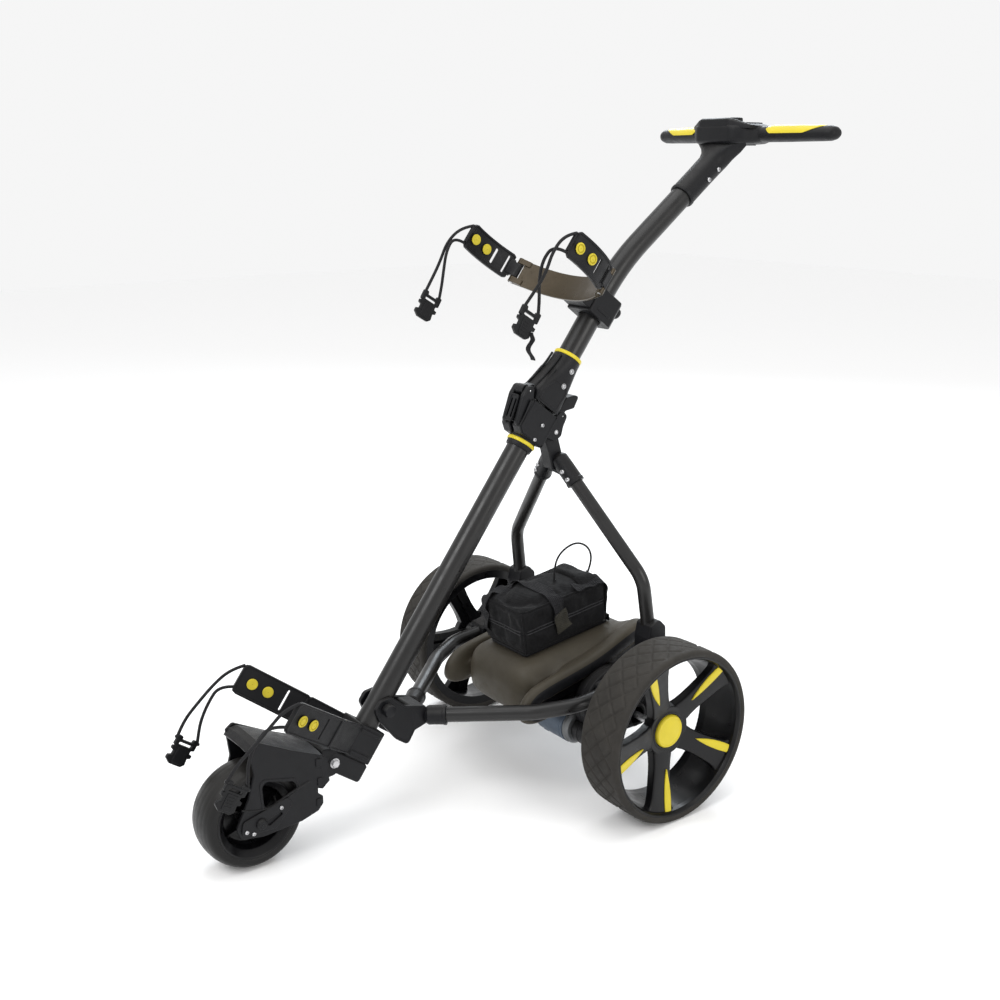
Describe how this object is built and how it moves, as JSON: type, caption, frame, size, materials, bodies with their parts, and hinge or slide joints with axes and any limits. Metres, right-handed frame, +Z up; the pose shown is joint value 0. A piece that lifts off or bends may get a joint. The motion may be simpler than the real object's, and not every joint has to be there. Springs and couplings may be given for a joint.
{
  "type": "electric golf trolley",
  "caption": "Folding three-wheeled electric golf trolley: leaning bent tube, T-shaped handle, two bag supports with bungee cords, hooded rear drive, lift-off battery bag, spoked wheels.",
  "frame": {"origin": "on the ground, at the middle of the trolley's footprint and on its symmetry plane", "axes": "+X to the side of the motor's gearbox, -Y towards the front wheel, +Z up"},
  "size_m": [0.614, 1.114, 1.098],
  "materials": {
    "frame_paint": "satin black paint over aluminium tube",
    "black_plastic": "moulded, lightly textured",
    "hood_plastic": "moulded, grained",
    "yellow_trim": "moulded, satin",
    "tyre_rubber": "matt tread rubber",
    "rim_plastic": "glossy moulded",
    "steel": "zinc plated",
    "motor_paint": "blue-grey enamel",
    "gear_steel": "machined",
    "cord_rubber": "woven sleeve over rubber",
    "bag_fabric": "black woven nylon",
    "battery_case": "moulded",
    "support_band": "bronze-black satin",
    "soft_rubber": "matt"
  },
  "bodies": {
    "chassis": {"axle_bearings": "steel", "axle_carriers": "black_plastic", "axle_plates": "black_plastic", "battery_tray": "black_plastic", "buckles_lower": "black_plastic", "bungees_lower": "cord_rubber", "controller": "battery_case", "frame_screws": "steel", "front_axle": "steel", "front_bracket": "black_plastic", "front_fork": "black_plastic", "gearbox": "motor_paint", "housing_cover": "hood_plastic", "knuckle_lower": "black_plastic", "knuckle_pins": "steel", "leg_hub": "black_plastic", "legs": "frame_paint", "lower_bag_support": "black_plastic", "lower_ring": "yellow_trim", "lower_studs": "yellow_trim", "lower_tube": "frame_paint", "motor_can": "motor_paint", "motor_end_bell": "motor_paint", "pivot_bolt": "black_plastic", "side_fins": "hood_plastic", "side_tubes": "frame_paint", "undertray": "black_plastic"},
    "folding_frame": {"upper_tube": "frame_paint", "upper_ring": "yellow_trim", "knuckle_upper": "black_plastic", "cradle_band": "support_band", "upper_screws": "steel", "handle_body": "black_plastic", "grip_inserts": "yellow_trim", "console_panel": "black_plastic"},
    "fold_latch": {"latch_lever": "black_plastic"},
    "front_wheel": {"front_tyre": "tyre_rubber", "front_rim": "rim_plastic", "front_bearings": "steel"},
    "rear_wheels": {"rear_tyres": "tyre_rubber", "rear_rims": "rim_plastic", "spoke_inserts": "yellow_trim", "hub_caps": "yellow_trim", "rear_axle": "steel", "drive_gear": "gear_steel"},
    "motor_rotor": {"motor_pinion": "gear_steel"},
    "battery": {"battery_bag": "bag_fabric", "battery_pack": "battery_case", "battery_lead": "cord_rubber"},
    "right_arm": {"cradle_arm_right": "black_plastic", "cradle_studs_right": "yellow_trim", "bungee_upper_right": "cord_rubber", "buckle_upper_right": "black_plastic"},
    "left_arm": {"cradle_arm_left": "black_plastic", "cradle_studs_left": "yellow_trim", "bungee_upper_left": "cord_rubber", "buckle_upper_left": "black_plastic"},
    "knob": {"clamp_knob": "soft_rubber"},
    "dial": {"speed_dial": "soft_rubber"},
    "button": {"power_button": "soft_rubber"}
  },
  "joints": [
    {"name": "handle_fold", "type": "hinge", "parent": "chassis", "child": "folding_frame", "pos_m": [0, 0.0461, 0.66868], "axis": [1, 0, 0], "range_deg": [0, 160]},
    {"name": "latch_release", "type": "hinge", "parent": "chassis", "child": "fold_latch", "pos_m": [0, 0.11362, 0.61871], "axis": [-1, 0, 0], "range_deg": [0, 35], "stiffness_Nm_per_rad": 0.6, "springref_deg": -11.46},
    {"name": "front_wheel_spin", "type": "hinge", "parent": "chassis", "child": "front_wheel", "pos_m": [0, -0.4721, 0.082], "axis": [1, 0, 0], "continuous": true},
    {"name": "rear_axle_spin", "type": "hinge", "parent": "chassis", "child": "rear_wheels", "pos_m": [0, 0.1329, 0.145], "axis": [1, 0, 0], "continuous": true},
    {"name": "motor_spin", "type": "hinge", "parent": "chassis", "child": "motor_rotor", "pos_m": [0, 0.0884, 0.1004], "axis": [1, 0, 0], "continuous": true},
    {"name": "battery_lift", "type": "slide", "parent": "chassis", "child": "battery", "axis": [0, -0.1305, 0.9914], "range_m": [0, 0.08]},
    {"name": "right_arm_swing", "type": "hinge", "parent": "folding_frame", "child": "right_arm", "pos_m": [0.113, 0.12035, 0.84636], "axis": [0, 0.5948, 0.8039], "range_deg": [-8, 12]},
    {"name": "left_arm_swing", "type": "hinge", "parent": "folding_frame", "child": "left_arm", "pos_m": [-0.113, 0.12035, 0.84636], "axis": [0, -0.5948, -0.8039], "range_deg": [-8, 12]},
    {"name": "clamp_knob_turn", "type": "hinge", "parent": "folding_frame", "child": "knob", "pos_m": [0, 0.23979, 0.77913], "axis": [0, 0.8039, -0.5948], "range_deg": [0, 360]},
    {"name": "speed_dial_turn", "type": "hinge", "parent": "folding_frame", "child": "dial", "pos_m": [0, 0.5129, 1.092], "axis": [0, 0, 1], "range_deg": [0, 270]},
    {"name": "power_button_press", "type": "slide", "parent": "folding_frame", "child": "button", "axis": [0, 0, -1], "range_m": [0, 0.0015], "stiffness_N_per_m": 300, "springref_m": -0.001}
  ],
  "couplings": [
    {"joint": "motor_spin", "follows": "rear_axle_spin", "ratio": -4.6}
  ]
}
